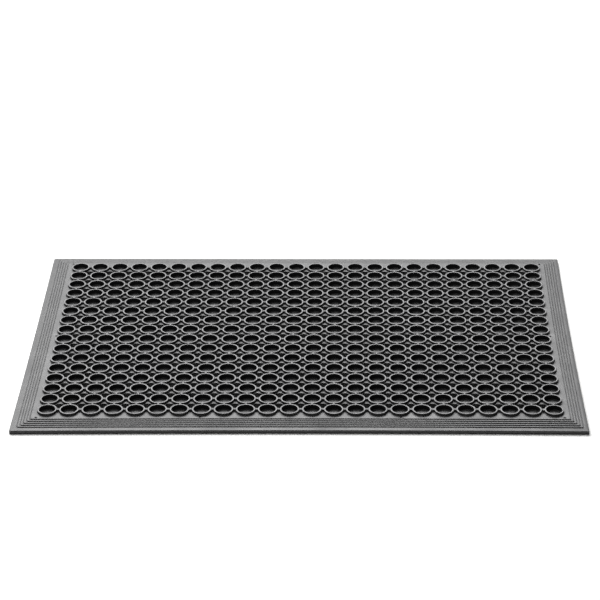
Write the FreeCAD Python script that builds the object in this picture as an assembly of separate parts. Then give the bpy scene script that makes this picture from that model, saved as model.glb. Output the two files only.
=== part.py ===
"""Ring door mat: one moulding of black rubber, written out as its natural pieces.

Rows of upright ring cups stand in a perforated web. A stepped ramp runs round the web on four
sides and meets itself in 45 degree mitres. Neighbouring pieces meet face to face.

Millimetres, +Z up. The origin is the centre of the mat on the floor. +X runs along the length,
and -Y is the front.
"""

import FreeCAD, Part
import math
import os

from FreeCAD import Vector

# Overall size
MAT_LENGTH = 600.0
MAT_WIDTH = 400.0
MAT_HEIGHT = 10.2
CORNER_RADIUS = 2.0

# Ring grid
RING_COLUMNS = 24
RING_ROWS = 16
STRIP_X = 4.35               # web between the border and the first column of rings
STRIP_Y = 4.0                # web between the border and the first row of rings
RING_GAP_X = 2.5             # least gap between two rings of one row
RING_GAP_Y = 1.6             # least gap between two neighbouring rows

# Ring cup
RING_WALL = 1.8
RIM_ROUND = 0.6
CUP_DEPTH = 5.3              # rim down to the cup's floor
CUP_FLOOR = 1.6

# Links at rim level
LINK_WIDTH = 1.8
LINK_DROP = 0.3              # rim down to the link's top

# Web
RING_STAND = 2.8             # rim down to the web's top
WEB_THICKNESS = 5.0
DRAIN_DIAMETER = 9.2

# Vent holes in the web's flat strip
VENT_DIAMETER = 2.6
VENT_INSET_X = 4.5           # border to the vents along the ends
VENT_INSET_Y = 1.6           # border to the vents along the front and back
VENT_SPACING = 0.38          # a side's inner vents, as a share of its corner vents' distance

# Border: lip, stepped ramp with a groove at the foot of each riser, then a flat strip
LIP_HEIGHT = 4.0
LIP_ROUND = 0.8
LIP_WIDTH = 5.5
LIP_RISE = 0.3               # from the lip's outer edge to its first groove
STEP_COUNT = 5
STEP_TREAD = 1.6
GROOVE_SLOPE = 0.6           # groove's outer wall, in plan
GROOVE_BOTTOM = 0.3
GROOVE_DEPTH = 0.4           # below the tread outside it
RISER_LEAN = 0.5             # riser, in plan
BORDER_STRIP = 1.0           # flat strip on the border itself

# Levels above the floor
web_top = MAT_HEIGHT - RING_STAND
web_bottom = web_top - WEB_THICKNESS
cup_floor_top = MAT_HEIGHT - CUP_DEPTH
cup_floor_bottom = cup_floor_top - CUP_FLOOR
link_top = MAT_HEIGHT - LINK_DROP

# Steps of the ramp, counted in from the lip
groove_width = GROOVE_SLOPE + GROOVE_BOTTOM + RISER_LEAN
step_pitch = groove_width + STEP_TREAD
ramp_end = LIP_WIDTH + STEP_COUNT * groove_width + (STEP_COUNT - 1) * STEP_TREAD
border_width = ramp_end + BORDER_STRIP
lip_top = LIP_HEIGHT + LIP_RISE
step_rise = (web_top - lip_top) / STEP_COUNT

# The rings are as large as both directions of the grid allow.
gaps_x = RING_COLUMNS - 1
gaps_y = RING_ROWS - 1
ring_field_x = MAT_LENGTH - 2 * (border_width + STRIP_X)
ring_field_y = MAT_WIDTH - 2 * (border_width + STRIP_Y)
ring_diameter = min(
    (ring_field_x - gaps_x * RING_GAP_X) / RING_COLUMNS,
    (ring_field_y - gaps_y * RING_GAP_Y) / RING_ROWS,
)
ring_outer = ring_diameter / 2
ring_inner = ring_outer - RING_WALL
ring_middle = ring_outer - RING_WALL / 2
pitch_x = (ring_field_x - ring_diameter) / gaps_x
pitch_y = (ring_field_y - ring_diameter) / gaps_y
rim_round = min(RIM_ROUND, 0.45 * RING_WALL)


def ring_x(column):
    return (column - gaps_x / 2) * pitch_x


def ring_y(row):
    return (row - gaps_y / 2) * pitch_y


def box(x, y, z):
    """A box from three (low, high) pairs."""
    size = [high - low for low, high in (x, y, z)]
    return Part.makeBox(*size, Vector(x[0], y[0], z[0]))


def polyline(points):
    return [Part.makeLine(a, b) for a, b in zip(points, points[1:])]


def rounded_edge(start, corner_centre, radius, start_angle, end_angle):
    """A quarter arc in the XZ plane, from start_angle to end_angle in degrees."""
    def at(angle):
        turn = math.radians(angle)
        return corner_centre + Vector(radius * math.cos(turn), 0, radius * math.sin(turn))

    middle = at((start_angle + end_angle) / 2)
    return Part.Arc(start, middle, at(end_angle)).toShape()


def ring_cup():
    """One cup about the Z axis: wall, rounded rim, floor part-way down and a foot below it."""
    shoulder = MAT_HEIGHT - rim_round
    outer_rim = Vector(ring_outer, 0, shoulder)
    inner_rim = Vector(ring_inner + rim_round, 0, MAT_HEIGHT)
    outer_centre = Vector(ring_outer - rim_round, 0, shoulder)
    inner_centre = Vector(ring_inner + rim_round, 0, shoulder)
    foot = [
        Vector(0, 0, cup_floor_top),
        Vector(0, 0, cup_floor_bottom),
        Vector(ring_inner, 0, cup_floor_bottom),
        Vector(ring_inner, 0, 0),
        Vector(ring_outer, 0, 0),
        outer_rim,
    ]
    crown = [Vector(ring_outer - rim_round, 0, MAT_HEIGHT), inner_rim]
    bore = [Vector(ring_inner, 0, shoulder), Vector(ring_inner, 0, cup_floor_top), foot[0]]
    edges = polyline(foot)
    edges.append(rounded_edge(outer_rim, outer_centre, rim_round, 0, 90))
    edges += polyline(crown)
    edges.append(rounded_edge(inner_rim, inner_centre, rim_round, 90, 180))
    edges += polyline(bore)
    section = Part.Face(Part.Wire(edges))
    return section.revolve(Vector(0, 0, 0), Vector(0, 0, 1), 360)


def side_link():
    """The bar from a ring's wall to the wall of the next ring in its row."""
    half = LINK_WIDTH / 2
    return box((ring_middle, pitch_x - ring_middle), (-half, half), (web_top, link_top))


def back_link():
    """The bar from a ring's wall to the outer face of the ring behind it."""
    half = LINK_WIDTH / 2
    bar = box((-half, half), (ring_middle, pitch_y), (web_top, link_top))
    ring_behind = Part.makeCylinder(ring_outer, MAT_HEIGHT, Vector(0, pitch_y, 0))
    return bar.cut(ring_behind)


def ring_row(row_behind):
    """A row of cups along y = 0 with its links, as one solid."""
    cup = ring_cup()
    link = side_link()
    bridge = back_link()
    pieces = []
    for column in range(RING_COLUMNS):
        place = Vector(ring_x(column), 0, 0)
        pieces.append(cup.translated(place))
        if column < gaps_x:
            pieces.append(link.translated(place))
        if row_behind:
            pieces.append(bridge.translated(place))
    return pieces[0].multiFuse(pieces[1:])


def circle(x, y, z, radius):
    return Part.Wire(Part.makeCircle(radius, Vector(x, y, z)))


def vent_places():
    """Vents at the corners, two more along each side and one midway along each end."""
    end = MAT_LENGTH / 2 - border_width - VENT_INSET_X
    side = MAT_WIDTH / 2 - border_width - VENT_INSET_Y
    along = end * VENT_SPACING
    between_rows = ring_y(RING_ROWS // 2) - pitch_y / 2
    places = [(x, y) for x in (-end, -along, along, end) for y in (-side, side)]
    return places + [(-end, between_rows), (end, between_rows)]


def web():
    """The sheet between the rings, with a seat at each ring, drains and vents."""
    half_x = MAT_LENGTH / 2 - border_width
    half_y = MAT_WIDTH / 2 - border_width
    corners = [
        Vector(-half_x, -half_y, web_bottom),
        Vector(half_x, -half_y, web_bottom),
        Vector(half_x, half_y, web_bottom),
        Vector(-half_x, half_y, web_bottom),
        Vector(-half_x, -half_y, web_bottom),
    ]
    wires = [Part.makePolygon(corners)]
    for row in range(RING_ROWS):
        for column in range(RING_COLUMNS):
            wires.append(circle(ring_x(column), ring_y(row), web_bottom, ring_outer))
    for row in range(gaps_y):
        for column in range(gaps_x):
            x = ring_x(column + 0.5)
            y = ring_y(row + 0.5)
            wires.append(circle(x, y, web_bottom, DRAIN_DIAMETER / 2))
    for x, y in vent_places():
        wires.append(circle(x, y, web_bottom, VENT_DIAMETER / 2))
    sheet = Part.makeFace(Part.makeCompound(wires), "Part::FaceMakerBullseye")
    return sheet.extrude(Vector(0, 0, WEB_THICKNESS))


def border_section(length):
    """The border's section at x = -length / 2, with its outer edge on y = 0."""
    def at(inset, level):
        return Vector(-length / 2, inset, level)

    face = [at(0, 0), at(0, LIP_HEIGHT - LIP_ROUND)]
    edge_turn = math.sqrt(0.5) * LIP_ROUND
    edge_middle = at(LIP_ROUND - edge_turn, LIP_HEIGHT - LIP_ROUND + edge_turn)
    edge_end = at(LIP_ROUND, LIP_HEIGHT)
    top = [edge_end]
    for step in range(STEP_COUNT):
        groove = LIP_WIDTH + step * step_pitch
        tread = lip_top + step * step_rise
        bottom = tread - GROOVE_DEPTH
        top.append(at(groove, tread))
        top.append(at(groove + GROOVE_SLOPE, bottom))
        top.append(at(groove + GROOVE_SLOPE + GROOVE_BOTTOM, bottom))
        top.append(at(groove + groove_width, tread + step_rise))
    top.append(at(border_width, web_top))
    top.append(at(border_width, 0))
    top.append(at(0, 0))
    edges = polyline(face)
    edges.append(Part.Arc(face[-1], edge_middle, edge_end).toShape())
    edges += polyline(top)
    return Part.Face(Part.Wire(edges))


def outline():
    """The mat's outer block with its rounded upright corners."""
    half_x = MAT_LENGTH / 2
    half_y = MAT_WIDTH / 2
    block = box((-half_x, half_x), (-half_y, half_y), (0, MAT_HEIGHT))
    upright = [e for e in block.Edges if abs(e.tangentAt(e.FirstParameter).z) > 0.99]
    return block.makeFillet(CORNER_RADIUS, upright)


def border(length, width):
    """The front border of a mat of that length and width, cut to its mitres."""
    bar = border_section(length).extrude(Vector(length, 0, 0))
    bar.translate(Vector(0, -width / 2, 0))
    outer = length / 2
    inner = outer - border_width
    front = -width / 2
    plan = Part.makePolygon([
        Vector(-outer, front, 0),
        Vector(outer, front, 0),
        Vector(inner, front + border_width, 0),
        Vector(-inner, front + border_width, 0),
        Vector(-outer, front, 0),
    ])
    mitred = Part.Face(plan).extrude(Vector(0, 0, MAT_HEIGHT))
    return bar.common(mitred)


def turned(shape, degrees):
    copy = shape.copy()
    copy.rotate(Vector(0, 0, 0), Vector(0, 0, 1), degrees)
    return copy


def export(name, shape):
    solid = shape.Solids[0]
    if len(shape.Solids) != 1 or not solid.isValid():
        raise ValueError(name + " is not one valid solid")
    solid.exportStep("parts/" + name + ".step")


def main():
    os.makedirs("parts", exist_ok=True)
    block = outline()
    long_side = border(MAT_LENGTH, MAT_WIDTH)
    short_side = border(MAT_WIDTH, MAT_LENGTH)
    export("border_front", long_side.common(block))
    export("border_back", turned(long_side, 180).common(block))
    export("border_left", turned(short_side, -90).common(block))
    export("border_right", turned(short_side, 90).common(block))
    export("web", web())
    linked_row = ring_row(True)
    back_row = ring_row(False)
    for row in range(RING_ROWS):
        shape = linked_row if row < gaps_y else back_row
        export("ring_row_%02d" % (row + 1), shape.translated(Vector(0, ring_y(row), 0)))


main()
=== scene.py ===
"""Ring door mat: one moulding of black rubber with a grey bloom, laid flat on a pale floor.

Lengths are metres. The origin is on the floor under the mat's centre, +X runs along the mat and
-Y is its front.
"""

import math

import bmesh
import bpy
import numpy as np
from mathutils import Matrix, Vector, geometry


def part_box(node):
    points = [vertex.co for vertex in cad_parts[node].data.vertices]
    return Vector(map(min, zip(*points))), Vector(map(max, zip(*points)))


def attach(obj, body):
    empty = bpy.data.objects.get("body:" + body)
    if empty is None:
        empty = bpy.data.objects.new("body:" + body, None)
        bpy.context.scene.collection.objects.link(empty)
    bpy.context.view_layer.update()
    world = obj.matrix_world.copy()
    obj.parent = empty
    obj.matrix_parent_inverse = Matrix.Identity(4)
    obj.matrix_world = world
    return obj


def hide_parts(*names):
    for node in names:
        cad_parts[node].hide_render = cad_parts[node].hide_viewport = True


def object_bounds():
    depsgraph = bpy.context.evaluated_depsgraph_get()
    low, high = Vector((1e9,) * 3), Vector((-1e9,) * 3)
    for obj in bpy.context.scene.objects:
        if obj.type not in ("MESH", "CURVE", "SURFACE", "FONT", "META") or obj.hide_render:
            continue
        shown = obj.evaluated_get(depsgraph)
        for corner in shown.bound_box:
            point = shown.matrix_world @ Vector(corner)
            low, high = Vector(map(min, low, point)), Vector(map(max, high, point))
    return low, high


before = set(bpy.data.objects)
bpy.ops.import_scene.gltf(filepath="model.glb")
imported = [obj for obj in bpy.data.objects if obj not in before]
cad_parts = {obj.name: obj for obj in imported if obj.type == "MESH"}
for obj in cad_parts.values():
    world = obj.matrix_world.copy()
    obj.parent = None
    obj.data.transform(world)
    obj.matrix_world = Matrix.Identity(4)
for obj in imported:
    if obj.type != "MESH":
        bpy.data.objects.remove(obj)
cad_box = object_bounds()

MM = 0.001

# ---------------------------------------------------------------- sizes, from the frame
COLUMNS = 24
ROWS = sorted(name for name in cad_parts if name.startswith("ring_row"))
SIDES = {"front": 2, "back": 0, "left": 1, "right": 3}      # in quarter turns from the back

web_low, web_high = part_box("web")
# The last row has no links behind it, so its box is as deep as a ring is wide.
row_low, row_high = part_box(ROWS[-1])
side_low, side_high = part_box("border_front")
mat_high = cad_box[1]

half_x = mat_high[0]
half_y = mat_high[1]
border_width = side_high.y - side_low.y
ring_radius = (row_high.y - row_low.y) / 2
pitch_x = (row_high.x - row_low.x - 2 * ring_radius) / (COLUMNS - 1)
row_y = [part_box(name)[0].y + ring_radius for name in ROWS]
pitch_y = (row_y[-1] - row_y[0]) / (len(ROWS) - 1)
column_x = [(i - (COLUMNS - 1) / 2) * pitch_x for i in range(COLUMNS)]
rim_z = row_high.z
web_z = web_high.z
web_foot = web_low.z

# Wear and painted light run from 0, skin as it left the mould, to 1, an edge that shoes have rubbed
# pale. The same value also paints highlights along rims and edges and lightens the lit tops, while
# the hollows get no pale colour. A corner that is eased is a few points, each as (across, up,
# wear and painted light) in mm from where it would be sharp.

# Ring cups
RING_STEPS = 48
RING_WALL = 1.8 * MM
CUP_DEPTH = 5.3 * MM
CUP_FLOOR = 1.6 * MM
RIM_RISE = 0.55 * MM         # height of the rim's rounding
RIM_SQUARE = 0.62            # 1 is a round rim, and less is squarer
RIM_STEPS = 12
RIM_DRAFT = 0.03 * MM        # how far the wall has drawn in by the rim, to leave the mould
RIM_WEAR_AND_HIGHLIGHT_LOW = 0.25          # wear and painted highlight where the rim's rounding starts; it is 1 along the top
UNDER_FILLET = ((-0.9, 0.0, 0.0), (-0.25, -0.2, 0.0), (0.0, -0.8, 0.0))
FOOT_INSIDE = ((0.0, 0.35, 0.0), (0.3, 0.0, 0.2))
FOOT_OUTSIDE = ((-0.3, 0.0, 0.2), (0.0, 0.35, 0.0))
SEAT_FILLET = ((0.0, -0.05, 0.0), (0.32, -0.02, 0.1), (0.12, 0.10, 0.0), (0.0, 0.34, 0.0))
WALL_TOP_OUTSIDE = (-0.03, -1.1, 0.1)
WALL_TOP_INSIDE = (0.02, -1.4, 0.1)
CUP_FILLET = ((0.0, 1.2, 0.0), (-0.06, 0.35, 0.0), (-0.35, 0.06, 0.0), (-1.0, 0.0, 0.0))
CUP_FLOOR_EDGE = (-3.0, 0.0, 0.05)
FLOOR_WEAR = 0.05

# Links between the cups
LINK_ANGLE = math.radians(6.5)
LINK_WINDOW_STEP = 2         # the rim's step that a link's top meets
LINK_WAIST = 0.72            # a link's width at its middle, as a share of its ends
LINK_SAG = 0.06              # how much lower its middle is, as a share of its height
LINK_SHARES = (0.12, 0.35, 0.65, 0.88)      # where along a link its loops of points lie
LINK_SINK = 0.3 * MM         # how far a link's closed end sits inside the ring behind
# The links' paleness is part wear and part painted light on their lit tops.
LINK_WEAR_AND_LIGHT = 0.35

# How much one cup differs from the next, each as a standard deviation
OFFSET_SPREAD = 0.07 * MM
GROWTH_SPREAD = 0.004
OVAL_SPREAD = 0.005
HEIGHT_SPREAD = 0.05 * MM

# Web
# The web's whole top is painted paler, part wear and part painted light on the lit top; its
# underside stays at 0.
WEB_WEAR_AND_LIGHT = 0.6
DRAIN_RADIUS = 4.6 * MM
DRAIN_STEPS = 32
DRAIN_ROUND = 0.35 * MM
VENT_RADIUS = 1.3 * MM
VENT_STEPS = 16
VENT_ROUND = 0.15 * MM
VENT_INSET_X = 4.5 * MM
VENT_INSET_Y = 1.6 * MM
VENT_SPACING = 0.38          # the inner vents' place along the strip, as a share of the outer's
ROUND_SHARES = (0.3, 0.65, 1.0)
ROUND_WEAR = 0.2
STATION = 9.0 * MM           # about how long a straight run is, so that the sides can bow

# Ramp
LIP_HEIGHT = 4.0 * MM
LIP_WIDTH = 5.5 * MM
LIP_RISE = 0.3 * MM
LIP_ROUND = 0.9 * MM
LIP_ROUND_STEPS = 6
LIP_FOOT = 0.9 * MM          # an edge low on the lip's upright face
LIP_WEAR = 0.1
# The lip's rounded edge is paler, part rubbed and part painted highlight.
LIP_EDGE_WEAR_AND_HIGHLIGHT = 0.4
STEP_COUNT = 5
STEP_TREAD = 1.6 * MM
GROOVE_SLOPE = 0.6 * MM
GROOVE_BOTTOM = 0.3 * MM
GROOVE_DEPTH = 0.5 * MM
RISER_LEAN = 0.5 * MM
TREAD_END = ((-0.12, 0.0, 0.15), (0.06, -0.04, 0.1))
SLOPE_FOOT = ((-0.06, 0.05, 0.0), (0.04, 0.0, 0.0))
RISER_FOOT = ((-0.04, 0.0, 0.0), (0.04, 0.08, 0.0))
# The third value of each point here is wear and painted highlight along the step's edge.
RISER_TOP = ((-0.07, -0.14, 0.6), (-0.01, -0.05, 1.0), (0.10, -0.005, 0.7))
LAST_TREAD = (0.3, 0.0, 0.7)
CORNER_ROUND = 1.6 * MM
CORNER_STEPS = 5

# How far the moulding has crept in from a true rectangle, midway along each side
CREEP_LEFT = 0.8 * MM
CREEP_RIGHT = 1.5 * MM
CREEP_FRONT = 1.7 * MM
# The mould's inner pattern sits a little to the right of its outline, and eases over to it
PATTERN_SHIFT = 1.0 * MM
PATTERN_EASE = 6.0 * MM
# A slow unevenness, along the floor and up from it, and the longest wave in each
WAVE_FLAT = 0.12 * MM
WAVE_TALL = 0.10 * MM
WAVE_FLAT_LENGTH = 420 * MM
WAVE_TALL_LENGTH = 300 * MM
WAVE_HEADINGS = ((1.0, 0.6), (-0.7, 1.3), (2.1, -1.6), (1.7, 2.9), (-3.7, 1.1))
WAVE_TURN = 1.9              # how much further round each wave starts than the last
WAVE_REACH = 2.2             # about the most that the waves add up to

# Mesh
MERGE = 0.002 * MM           # points closer than this are one point
CREASE = math.radians(38)    # a sharper fold than this is shaded as an edge
LEVEL = 0.999                # a face is level if its normal stands at least this upright

random = np.random.default_rng(24)


# ---------------------------------------------------------------- mesh work
def waves(x, y, phase, longest):
    """A smooth, slow unevenness between about -1 and 1: five waves, each weaker than the last."""
    total = np.zeros_like(x)
    size = 2 * math.pi / longest
    for k, (a, b) in enumerate(WAVE_HEADINGS):
        total += np.sin(size * (a * x + b * y) + phase + WAVE_TURN * k) / (1.3 + 0.5 * k)
    return total / WAVE_REACH


def settled(points):
    """Points of the true moulding, moved to where limp rubber has crept and settled."""
    p = np.array(points, float)
    x, y, z = p[:, 0].copy(), p[:, 1].copy(), p[:, 2].copy()
    across = np.clip(x / half_x, -1, 1)
    along = np.clip(y / half_y, -1, 1)
    p[:, 0] -= CREEP_RIGHT * (1 - along ** 2) * ((1 + across) / 2) ** 2
    p[:, 0] += CREEP_LEFT * (1 - along ** 2) * ((1 - across) / 2) ** 2
    p[:, 1] += CREEP_FRONT * (1 - across ** 2) * ((1 - along) / 2) ** 2
    inside = (1 - across ** 2) * (1 - along ** 2)
    margin = np.minimum(half_x - np.abs(x), half_y - np.abs(y)).clip(0, PATTERN_EASE)
    p[:, 0] += PATTERN_SHIFT * np.sin(margin / PATTERN_EASE * math.pi / 2)
    p[:, 0] += WAVE_FLAT * waves(x, y, 0.4, WAVE_FLAT_LENGTH) * inside
    p[:, 1] += WAVE_FLAT * waves(x, y, 2.2, WAVE_FLAT_LENGTH) * inside
    low = (1 + waves(x, y, 4.1, WAVE_TALL_LENGTH)) / 2
    p[:, 2] -= WAVE_TALL * low * (z / rim_z)
    return p


def eased(across, height, corner):
    """The points that ease a corner, as (across, height, wear and painted light)."""
    return [(across + a * MM, height + b * MM, worn_and_lit) for a, b, worn_and_lit in corner]


def skin_between(loops, faces):
    """Adds the faces between each closed loop of points and the next, point to point."""
    for a, b in zip(loops, loops[1:]):
        for k in range(len(a)):
            n = (k + 1) % len(a)
            faces.append((a[k], a[n], b[n], b[k]))


def piece(name, points, faces, wear_and_light, material, replaced):
    """One rubber piece from points and faces, with its wear and painted light stored on the points.
    """
    mesh = bpy.data.meshes.new(name)
    mesh.from_pydata(settled(points).tolist(), [], faces)
    mesh.attributes.new("wear_and_light", "FLOAT", "POINT").data.foreach_set(
        "value", np.asarray(wear_and_light, np.float32)
    )
    work = bmesh.new()
    work.from_mesh(mesh)
    bmesh.ops.remove_doubles(work, verts=work.verts, dist=MERGE)
    bmesh.ops.recalc_face_normals(work, faces=work.faces)
    work.to_mesh(mesh)
    work.free()
    # The web's level triangles are long and thin, and shading them smooth would streak them.
    flat = [abs(face.normal.z) > LEVEL and len(face.vertices) == 3 for face in mesh.polygons]
    mesh.polygons.foreach_set("use_smooth", [not level for level in flat])
    mesh.set_sharp_from_angle(angle=CREASE)
    mesh.materials.append(material)
    obj = bpy.data.objects.new(name, mesh)
    bpy.context.scene.collection.objects.link(obj)
    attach(obj, "root")
    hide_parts(replaced)
    return obj


# ---------------------------------------------------------------- ring rows
def cup_section():
    """A ring cup's half section as (radius, height, wear and painted light), and where a link's
    window lies.
    """
    outer = ring_radius
    inner = ring_radius - RING_WALL
    bottom = rim_z - CUP_DEPTH
    under = bottom - CUP_FLOOR
    centre = (outer + inner) / 2
    half = RING_WALL / 2
    points = [(0.0, under, 0.0)]
    points += eased(inner, under, UNDER_FILLET)
    points += eased(inner, 0.0, FOOT_INSIDE)
    points += eased(outer, 0.0, FOOT_OUTSIDE)
    points.append((outer, web_foot, 0.0))
    window_foot = len(points)
    points += eased(outer, web_z, SEAT_FILLET)
    points += eased(outer, rim_z, [WALL_TOP_OUTSIDE])
    window_top = len(points) + LINK_WINDOW_STEP
    for k in range(RIM_STEPS + 1):
        turn = math.pi * k / RIM_STEPS
        share = math.copysign(abs(math.cos(turn)) ** RIM_SQUARE, math.cos(turn))
        height = rim_z - RIM_RISE * (1 - math.sin(turn) ** RIM_SQUARE)
        # The rim is palest along its top: rubbed by shoes, and a painted highlight.
        worn_and_lit = RIM_WEAR_AND_HIGHLIGHT_LOW + (1 - RIM_WEAR_AND_HIGHLIGHT_LOW) * math.sin(turn)
        points.append((centre + (half - RIM_DRAFT) * share, height, worn_and_lit))
    points += eased(inner, rim_z, [WALL_TOP_INSIDE])
    points += eased(inner, bottom, CUP_FILLET)
    points += eased(inner, bottom, [CUP_FLOOR_EDGE])
    points.append((0.0, bottom, FLOOR_WEAR))
    return points, window_foot, window_top


def ring_angles():
    """Even steps, with the steps beside each quarter pulled in to a link's sides."""
    angles = [2 * math.pi * i / RING_STEPS for i in range(RING_STEPS)]
    for quarter in range(4):
        middle = quarter * RING_STEPS // 4
        for side in (-1, 1):
            angles[(middle + side) % RING_STEPS] = quarter * math.pi / 2 + side * LINK_ANGLE
    return angles


SECTION, WINDOW_FOOT, WINDOW_TOP = cup_section()
ANGLES = ring_angles()
EAST, NORTH, WEST, SOUTH = (q * RING_STEPS // 4 for q in range(4))

# Every cup comes out of the mould a little different: offset, size, oval and height.
CUP_OFFSET = random.normal(0, OFFSET_SPREAD, (len(ROWS), COLUMNS, 2))
CUP_GROWTH = random.normal(0, GROWTH_SPREAD, (len(ROWS), COLUMNS))
CUP_OVAL = random.normal(0, OVAL_SPREAD, (len(ROWS), COLUMNS, 2))
CUP_HEIGHT = random.normal(0, HEIGHT_SPREAD, (len(ROWS), COLUMNS))


def cups(row):
    """The points of one row of cups, by column, level up the section, and step round the ring."""
    radius, height, _ = np.array(SECTION).T[:, None, :, None]
    angle = np.array(ANGLES)[None, None, :]
    above = ((height - web_z) / (rim_z - web_z)).clip(0)
    by_cup = (slice(None), None, None)
    size = radius * (1 + above * CUP_GROWTH[row][by_cup])
    oval_x, oval_y = (1 + above * CUP_OVAL[row][:, axis][by_cup] for axis in (0, 1))
    shift_x, shift_y = (above * CUP_OFFSET[row][:, axis][by_cup] for axis in (0, 1))
    x = np.array(column_x)[by_cup] + shift_x + size * oval_x * np.cos(angle)
    y = row_y[row] + shift_y + size * oval_y * np.sin(angle)
    z = height - above * np.abs(CUP_HEIGHT[row])[by_cup] + 0 * angle
    return np.stack([x, y, z], -1)


def window_loop(middle, mirrored):
    """(level, step) round a link's window, up one side, over its top and down the other."""
    near, far = (1, -1) if mirrored else (-1, 1)
    loop = [(level, middle + near) for level in range(WINDOW_FOOT, WINDOW_TOP)]
    loop += [(WINDOW_TOP, middle + near), (WINDOW_TOP, middle), (WINDOW_TOP, middle + far)]
    loop += [(level, middle + far) for level in range(WINDOW_TOP - 1, WINDOW_FOOT - 1, -1)]
    return loop + [(WINDOW_FOOT, middle)]


def waist(start, end, share, along):
    """A link's loop part-way across its gap, drawn in and sagging like cooled rubber."""
    loop = start + (end - start) * share
    middle = loop.mean(0)
    pinch = 1 - (1 - LINK_WAIST) * math.sin(math.pi * share) ** 0.5
    side = 1 - along
    loop[:, side] = middle[side] + (loop[:, side] - middle[side]) * pinch
    top = (loop[:, 2] - web_z).clip(0)
    loop[:, 2] -= LINK_SAG * top * math.sin(math.pi * share)
    return loop.tolist()


def ring_row(row, material):
    """One row of cups with the links between them and to the row behind, as one closed skin."""
    grid = cups(row)
    behind = cups(row + 1) if row < len(ROWS) - 1 else None
    ids = np.arange(grid[..., 0].size).reshape(grid.shape[:3])
    points = grid.reshape(-1, 3).tolist()
    wear_and_light = np.broadcast_to(np.array(SECTION)[:, 2][None, :, None], ids.shape).ravel().tolist()
    onward = np.roll(ids, -1, axis=2)
    quads = np.stack([ids[:, :-1], onward[:, :-1], onward[:, 1:], ids[:, 1:]], -1)
    skin = np.ones(quads.shape[:3], bool)
    skin[:-1, WINDOW_FOOT:WINDOW_TOP, [EAST - 1, EAST]] = False
    skin[1:, WINDOW_FOOT:WINDOW_TOP, [WEST - 1, WEST]] = False
    if behind is not None:
        skin[:, WINDOW_FOOT:WINDOW_TOP, [NORTH - 1, NORTH]] = False
    faces = quads[skin].tolist()

    def laid(loop):
        """Adds a link's loop of points, and gives their numbers."""
        first = len(points)
        points.extend(loop)
        wear_and_light.extend([LINK_WEAR_AND_LIGHT] * len(loop))
        return list(range(first, first + len(loop)))

    def window(columns, column, middle, mirrored):
        """What a window's loop of places holds, which is either points or their numbers."""
        levels, steps = zip(*window_loop(middle, mirrored))
        return columns[column, levels, steps]

    for column in range(COLUMNS - 1):
        start = window(grid, column, EAST, False)
        end = window(grid, column + 1, WEST, True)
        loops = [laid(waist(start, end, share, 0)) for share in LINK_SHARES]
        near = window(ids, column, EAST, False).tolist()
        far = window(ids, column + 1, WEST, True).tolist()
        skin_between([near] + loops + [far], faces)
    if behind is not None:
        for column in range(COLUMNS):
            start = window(grid, column, NORTH, True)
            end = window(behind, column, SOUTH, False)
            loops = [laid(waist(start, end, share, 1)) for share in LINK_SHARES]
            sunk = laid((end + (0, LINK_SINK, 0)).tolist())
            near = window(ids, column, NORTH, True).tolist()
            skin_between([near] + loops + [laid(end.tolist()), sunk], faces)
            faces.append(tuple(sunk))
    return piece("row_of_rings_%02d" % (row + 1), points, faces, wear_and_light, material, ROWS[row])


# ---------------------------------------------------------------- web
def stations(half):
    """Even places along a side from -half to half."""
    count = max(2, round(2 * half / STATION))
    return np.linspace(-half, half, count + 1)


def circle(x, y, radius, angles):
    """Points round a circle at the angles given."""
    return [(x + radius * math.cos(a), y + radius * math.sin(a)) for a in angles]


def even_angles(count):
    """A full turn in equal steps."""
    return [2 * math.pi * i / count for i in range(count)]


def vent_places():
    """Vents in the flat strip: four along the front, four along the back and one at each end."""
    end = half_x - border_width - VENT_INSET_X
    side = half_y - border_width - VENT_INSET_Y
    along = end * VENT_SPACING
    places = [(x, y) for x in (-end, -along, along, end) for y in (-side, side)]
    return places + [(-end, 0.0), (end, 0.0)]


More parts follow.
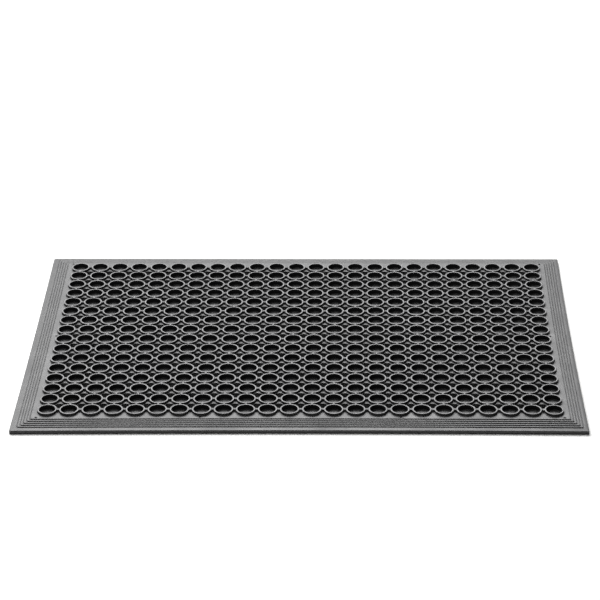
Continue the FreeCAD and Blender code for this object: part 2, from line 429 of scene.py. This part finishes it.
def web(material):
    """The perforated sheet: its top and bottom, the seats, and rounded drains and vents."""
    inner_x = half_x - border_width
    inner_y = half_y - border_width
    xs, ys = stations(inner_x), stations(inner_y)
    outline = [(x, -inner_y) for x in xs[:-1]] + [(inner_x, y) for y in ys[:-1]]
    outline += [(x, inner_y) for x in xs[:0:-1]] + [(-inner_x, y) for y in ys[:0:-1]]
    seats = [(x, y, ring_radius, ANGLES, 0.0) for x in column_x for y in row_y]
    drains = [
        (x + pitch_x / 2, y + pitch_y / 2, DRAIN_RADIUS, even_angles(DRAIN_STEPS), DRAIN_ROUND)
        for x in column_x[:-1]
        for y in row_y[:-1]
    ]
    vents = [(x, y, VENT_RADIUS, even_angles(VENT_STEPS), VENT_ROUND) for x, y in vent_places()]
    holes = seats + drains + vents
    flat = list(outline)
    edges = [(k, (k + 1) % len(outline)) for k in range(len(outline))]
    first = []
    for x, y, radius, angles, round_off in holes:
        start = len(flat)
        first.append(start)
        flat += circle(x, y, radius + round_off, angles)
        edges += [(start + k, start + (k + 1) % len(angles)) for k in range(len(angles))]
    found = geometry.delaunay_2d_cdt([Vector(p) for p in flat], edges, [], 1, 1e-9, False)
    corners = np.array([tuple(v) for v in found[0]])
    if len(corners) != len(flat):
        raise ValueError("the web's outlines touch")
    triangles = np.array(found[2])
    # A triangle whose three corners are all on one hole's edge lies in that hole.
    hole_of = np.concatenate([
        np.full(len(outline), -1),
        np.repeat(np.arange(len(holes)), [len(hole[3]) for hole in holes]),
    ])[triangles]
    in_hole = (hole_of[:, 0] >= 0) & (hole_of == hole_of[:, :1]).all(1)
    triangles = triangles[~in_hole]

    count = len(flat)
    points = [(x, y, web_z) for x, y in corners] + [(x, y, web_foot) for x, y in corners]
    wear_and_light = [WEB_WEAR_AND_LIGHT] * count + [0.0] * count
    faces = [tuple(t) for t in triangles.tolist()]
    faces += [tuple(i + count for i in t[::-1]) for t in triangles.tolist()]

    skin_between([list(range(len(outline))), list(range(count, count + len(outline)))], faces)
    for (x, y, radius, angles, round_off), start in zip(holes, first):
        rings = [list(range(start, start + len(angles)))]
        if round_off:
            for share in ROUND_SHARES:
                turn = share * math.pi / 2
                reach = radius + round_off * (1 - math.sin(turn))
                drop = round_off * (1 - math.cos(turn))
                rings.append(list(range(len(points), len(points) + len(angles))))
                points += [(px, py, web_z - drop) for px, py in circle(x, y, reach, angles)]
                wear_and_light += [ROUND_WEAR * (1 - share)] * len(angles)
        rings.append(list(range(count + start, count + start + len(angles))))
        skin_between(rings, faces)
    return piece("web_sheet", points, faces, wear_and_light, material, "web")


# ---------------------------------------------------------------- ramp
def ramp_section():
    """The ramp's section as (inset, height, wear and painted light), from the foot of its lip to its
    inside.
    """
    points = [(0.0, 0.0, 0.0), (0.0, LIP_FOOT, 0.0), (0.0, LIP_HEIGHT - LIP_ROUND, LIP_WEAR)]
    for k in range(1, LIP_ROUND_STEPS + 1):
        turn = k / LIP_ROUND_STEPS * math.pi / 2
        inset = LIP_ROUND * (1 - math.cos(turn))
        points.append((inset, LIP_HEIGHT - LIP_ROUND * (1 - math.sin(turn)), LIP_EDGE_WEAR_AND_HIGHLIGHT))
    points.append((LIP_WIDTH / 2, LIP_HEIGHT + LIP_RISE / 2, LIP_WEAR))
    tread = LIP_HEIGHT + LIP_RISE
    rise = (web_z - tread) / STEP_COUNT
    groove = LIP_WIDTH
    for _ in range(STEP_COUNT):
        slope_end = groove + GROOVE_SLOPE
        riser_start = slope_end + GROOVE_BOTTOM
        riser_end = riser_start + RISER_LEAN
        bottom = tread - GROOVE_DEPTH
        above = tread + rise
        points += eased(groove, tread, TREAD_END)
        points += eased(slope_end, bottom, SLOPE_FOOT)
        points += eased(riser_start, bottom, RISER_FOOT)
        points += eased(riser_end, above, RISER_TOP)
        groove = riser_end + STEP_TREAD
        tread = above
    points += eased(riser_end, web_z, [LAST_TREAD])
    points.append((border_width, web_z, WEB_WEAR_AND_LIGHT))
    points.append((border_width, 0.0, 0.0))
    return points


def side_path(inset, half_run, half_depth):
    """One side's line at an inset, mitre to mitre, as (along, outward) with eased corners."""
    run = half_run - inset
    out = half_depth - inset
    ease = CORNER_ROUND
    count = len(stations(half_run - border_width))
    line = np.linspace(-(run - ease), run - ease, count)
    turn = [math.pi / 4 * (1 - k / CORNER_STEPS) for k in range(CORNER_STEPS)]
    left = [(-(run - ease) - ease * math.sin(t), out - ease * (1 - math.cos(t))) for t in turn]
    middle = [(x, out) for x in line]
    right = [(-x, y) for x, y in reversed(left)]
    return left + middle + right


def ramp(side, material):
    """One side of the ramp, cut at its mitres, with its lip and its five steps."""
    quarter = SIDES[side]
    long_side = side in ("front", "back")
    half_run, half_depth = (half_x, half_y) if long_side else (half_y, half_x)
    turn = quarter * math.pi / 2
    cos_t, sin_t = round(math.cos(turn)), round(math.sin(turn))
    points, wear_and_light, lines = [], [], []
    for inset, height, worn_and_lit in ramp_section():
        path = side_path(inset, half_run, half_depth)
        lines.append(list(range(len(points), len(points) + len(path))))
        points += [(u * cos_t - v * sin_t, u * sin_t + v * cos_t, height) for u, v in path]
        wear_and_light += [worn_and_lit] * len(path)
    faces = []
    lines.append(lines[0])
    for a, b in zip(lines, lines[1:]):
        faces += [(a[k], a[k + 1], b[k + 1], b[k]) for k in range(len(a) - 1)]
    for end in (0, -1):
        faces.append(tuple(line[end] for line in lines[:-1]))
    return piece("ramp_" + side, points, faces, wear_and_light, material, "border_" + side)


# ---------------------------------------------------------------- materials
def colour(hex_value):
    """An sRGB hex colour as linear red, green, blue and alpha."""
    channels = [int(hex_value[k:k + 2], 16) / 255 for k in (1, 3, 5)]
    linear = [c / 12.92 if c <= 0.04045 else ((c + 0.055) / 1.055) ** 2.4 for c in channels]
    return (*linear, 1.0)


def add(tree, kind, links=None, **settings):
    """Adds a node, sets it up, and fills its inputs with values or other nodes' outputs."""
    node = tree.nodes.new(kind)
    for name, value in settings.items():
        setattr(node, name, value)
    for name, value in (links or {}).items():
        if isinstance(value, bpy.types.NodeSocket):
            tree.links.new(value, node.inputs[name])
        else:
            node.inputs[name].default_value = value
    return node


def blank(name):
    """A new material with an empty node tree."""
    material = bpy.data.materials.new(name)
    material.use_nodes = True
    material.node_tree.nodes.clear()
    return material, material.node_tree


# Carbon-black rubber is near black all through. The steel mould's blasted face leaves it dull, with
# a broad, soft sheen. Wax that rises to the skin leaves faint grey clouds. Edges that stand proud
# are paler, partly rubbed by shoes and partly a painted highlight, and the lit tops are painted
# paler too.
RUBBER_BODY = "#1b1b1c"
RUBBER_IOR = 1.52
BLOOM_PATCH = 26 * MM                   # wax bloom gathers in patches an inch or so across
BLOOM_FROM, BLOOM_TO = 0.35, 0.68       # the noise over which the bloom comes in
SHEEN_FROM, SHEEN_TO = 0.3, 0.7         # the noise over which the sheen turns duller
SHEEN_SPREAD = (-0.05, 0.07)            # what that adds to the roughness, at each end


def moulded_rubber(name, bloom, scuff_and_highlight, grain_size, grain_depth, roughness):
    """Vulcanised rubber from a steel mould, with a grey bloom on its skin and pale edges and tops,
    partly rubbed and partly painted highlight and light.
    """
    material, tree = blank(name)
    place = add(tree, "ShaderNodeTexCoord").outputs["Object"]
    worn_and_lit = add(tree, "ShaderNodeAttribute", attribute_name="wear_and_light").outputs["Fac"]
    clouds = add(tree, "ShaderNodeTexNoise", {
        "Vector": place, "Scale": 1 / BLOOM_PATCH, "Detail": 5.0, "Roughness": 0.6,
    }).outputs["Fac"]
    grain = add(tree, "ShaderNodeTexNoise", {
        "Vector": place, "Scale": 1 / grain_size, "Detail": 3.0, "Roughness": 0.65,
    }).outputs["Fac"]
    bloom_share = add(tree, "ShaderNodeMapRange", {
        "Value": clouds, "From Min": BLOOM_FROM, "From Max": BLOOM_TO, "To Min": 0.0, "To Max": 1.0,
    }).outputs["Result"]
    # Input 0 of a colour mix is its share, and 6 and 7 are the two colours; output 2 is the blend.
    skin = add(tree, "ShaderNodeMix", {
        0: bloom_share, 6: colour(RUBBER_BODY), 7: colour(bloom),
    }, data_type="RGBA")
    # The pale colour comes in with wear and painted light: rubbed edges, painted highlights on rims
    # and edges, and painted light on lit tops.
    rubbed_and_lit = add(tree, "ShaderNodeMath", {0: worn_and_lit, 1: grain}, operation="MULTIPLY").outputs[0]
    scuffed_and_lit = add(tree, "ShaderNodeMix", {
        0: rubbed_and_lit, 6: skin.outputs[2], 7: colour(scuff_and_highlight),
    }, data_type="RGBA")
    dull = add(tree, "ShaderNodeMapRange", {
        "Value": clouds, "From Min": SHEEN_FROM, "From Max": SHEEN_TO,
        "To Min": roughness + SHEEN_SPREAD[0], "To Max": roughness + SHEEN_SPREAD[1],
    }).outputs["Result"]
    bump = add(tree, "ShaderNodeBump", {
        "Height": grain, "Strength": 1.0, "Distance": grain_depth,
    }).outputs["Normal"]
    shader = add(tree, "ShaderNodeBsdfPrincipled", {
        "Base Color": scuffed_and_lit.outputs[2], "Roughness": dull, "Normal": bump,
        "IOR": RUBBER_IOR, "Metallic": 0.0,
    })
    add(tree, "ShaderNodeOutputMaterial", {"Surface": shader.outputs["BSDF"]})
    return material


NAP = 4.545 * MM             # a short-pile roller's orange peel is 1 to 2 mm; drawn coarser to show
NAP_DEPTH = 0.1 * MM
NAP_STRENGTH = 0.15


def painted_floor():
    """Matt white floor paint, which hides its own surface but for a trace of roller texture."""
    material, tree = blank("matt_white_floor_paint")
    place = add(tree, "ShaderNodeTexCoord").outputs["Object"]
    nap = add(tree, "ShaderNodeTexNoise", {"Vector": place, "Scale": 1 / NAP, "Detail": 2.0})
    bump = add(tree, "ShaderNodeBump", {
        "Height": nap.outputs["Fac"], "Strength": NAP_STRENGTH, "Distance": NAP_DEPTH,
    })
    shader = add(tree, "ShaderNodeBsdfPrincipled", {
        "Base Color": colour("#f4f4f3"), "Roughness": 0.9, "Normal": bump.outputs["Normal"],
    })
    add(tree, "ShaderNodeOutputMaterial", {"Surface": shader.outputs["BSDF"]})
    return material


# ---------------------------------------------------------------- studio
FLOOR_REACH = 6.0
WORLD_LIGHT = 0.07
LENS = 133.6
FILM_WIDTH = 36.0
CAMERA_SHIFT = -0.081
CAMERA_PLACE = (0.0509, -2.1772, 1.1858)
CAMERA_PITCH = math.radians(62.505)
CAMERA_ROLL = math.radians(0.05)


def floor():
    """A wide, flat floor, which the mat lies on."""
    r = FLOOR_REACH
    mesh = bpy.data.meshes.new("floor")
    mesh.from_pydata([(-r, -r, 0), (r, -r, 0), (r, r, 0), (-r, r, 0)], [], [(0, 1, 2, 3)])
    mesh.materials.append(painted_floor())
    obj = bpy.data.objects.new("floor", mesh)
    bpy.context.scene.collection.objects.link(obj)


def softbox(name, place, width, depth, watts):
    """A rectangular softbox aimed at the mat's middle."""
    data = bpy.data.lights.new(name, "AREA")
    data.shape = "RECTANGLE"
    data.size = width
    data.size_y = depth
    data.energy = watts
    obj = bpy.data.objects.new(name, data)
    obj.location = place
    obj.rotation_euler = (-Vector(place)).to_track_quat("-Z", "Y").to_euler()
    bpy.context.scene.collection.objects.link(obj)


def studio():
    """A dim white room, with the main softbox behind the mat and a weak one over it."""
    world = bpy.data.worlds.new("studio")
    world.use_nodes = True
    background = world.node_tree.nodes["Background"]
    background.inputs["Color"].default_value = colour("#ffffff")
    background.inputs["Strength"].default_value = WORLD_LIGHT
    bpy.context.scene.world = world
    softbox("back_softbox", place=(-0.5, 1.72, 1.84), width=2.8, depth=1.5, watts=138)
    softbox("top_softbox", place=(-0.4, 0.2, 2.6), width=2.4, depth=2.4, watts=25)
    bpy.context.scene.view_settings.view_transform = "Standard"


def camera():
    """A long lens in front of the mat, looking down at it."""
    data = bpy.data.cameras.new("camera")
    data.sensor_width = FILM_WIDTH
    data.lens = LENS
    data.shift_x = CAMERA_SHIFT
    data.dof.use_dof = False
    obj = bpy.data.objects.new("camera", data)
    obj.location = CAMERA_PLACE
    pitch = Matrix.Rotation(CAMERA_PITCH, 3, "X")
    roll = Matrix.Rotation(CAMERA_ROLL, 3, "Z")
    obj.rotation_euler = (pitch @ roll).to_euler()
    bpy.context.scene.collection.objects.link(obj)
    bpy.context.scene.camera = obj


# ---------------------------------------------------------------- the mat in its studio
camera()
studio()
floor()

# The rings' pale colour is lighter than the web's: it carries their rubbed rims and the painted
# highlight along them.
# A blasted mould's grain is 0.1 to 0.2 mm, too fine to show, and is drawn about six times as coarse.
ring_rubber = moulded_rubber(
    "moulded_rubber_rings", bloom="#252526", scuff_and_highlight="#868687",
    grain_size=0.8 * MM, grain_depth=0.04 * MM, roughness=0.46,
)
web_rubber = moulded_rubber(
    "moulded_rubber_web", bloom="#29292a", scuff_and_highlight="#6c6c6d",
    grain_size=1.1 * MM, grain_depth=0.06 * MM, roughness=0.50,
)
ramp_rubber = moulded_rubber(
    "moulded_rubber_ramp", bloom="#29292a", scuff_and_highlight="#6c6c6d",
    grain_size=1.1 * MM, grain_depth=0.06 * MM, roughness=0.50,
)

web(web_rubber)
for side in SIDES:
    ramp(side, ramp_rubber)
for row in range(len(ROWS)):
    ring_row(row, ring_rubber)
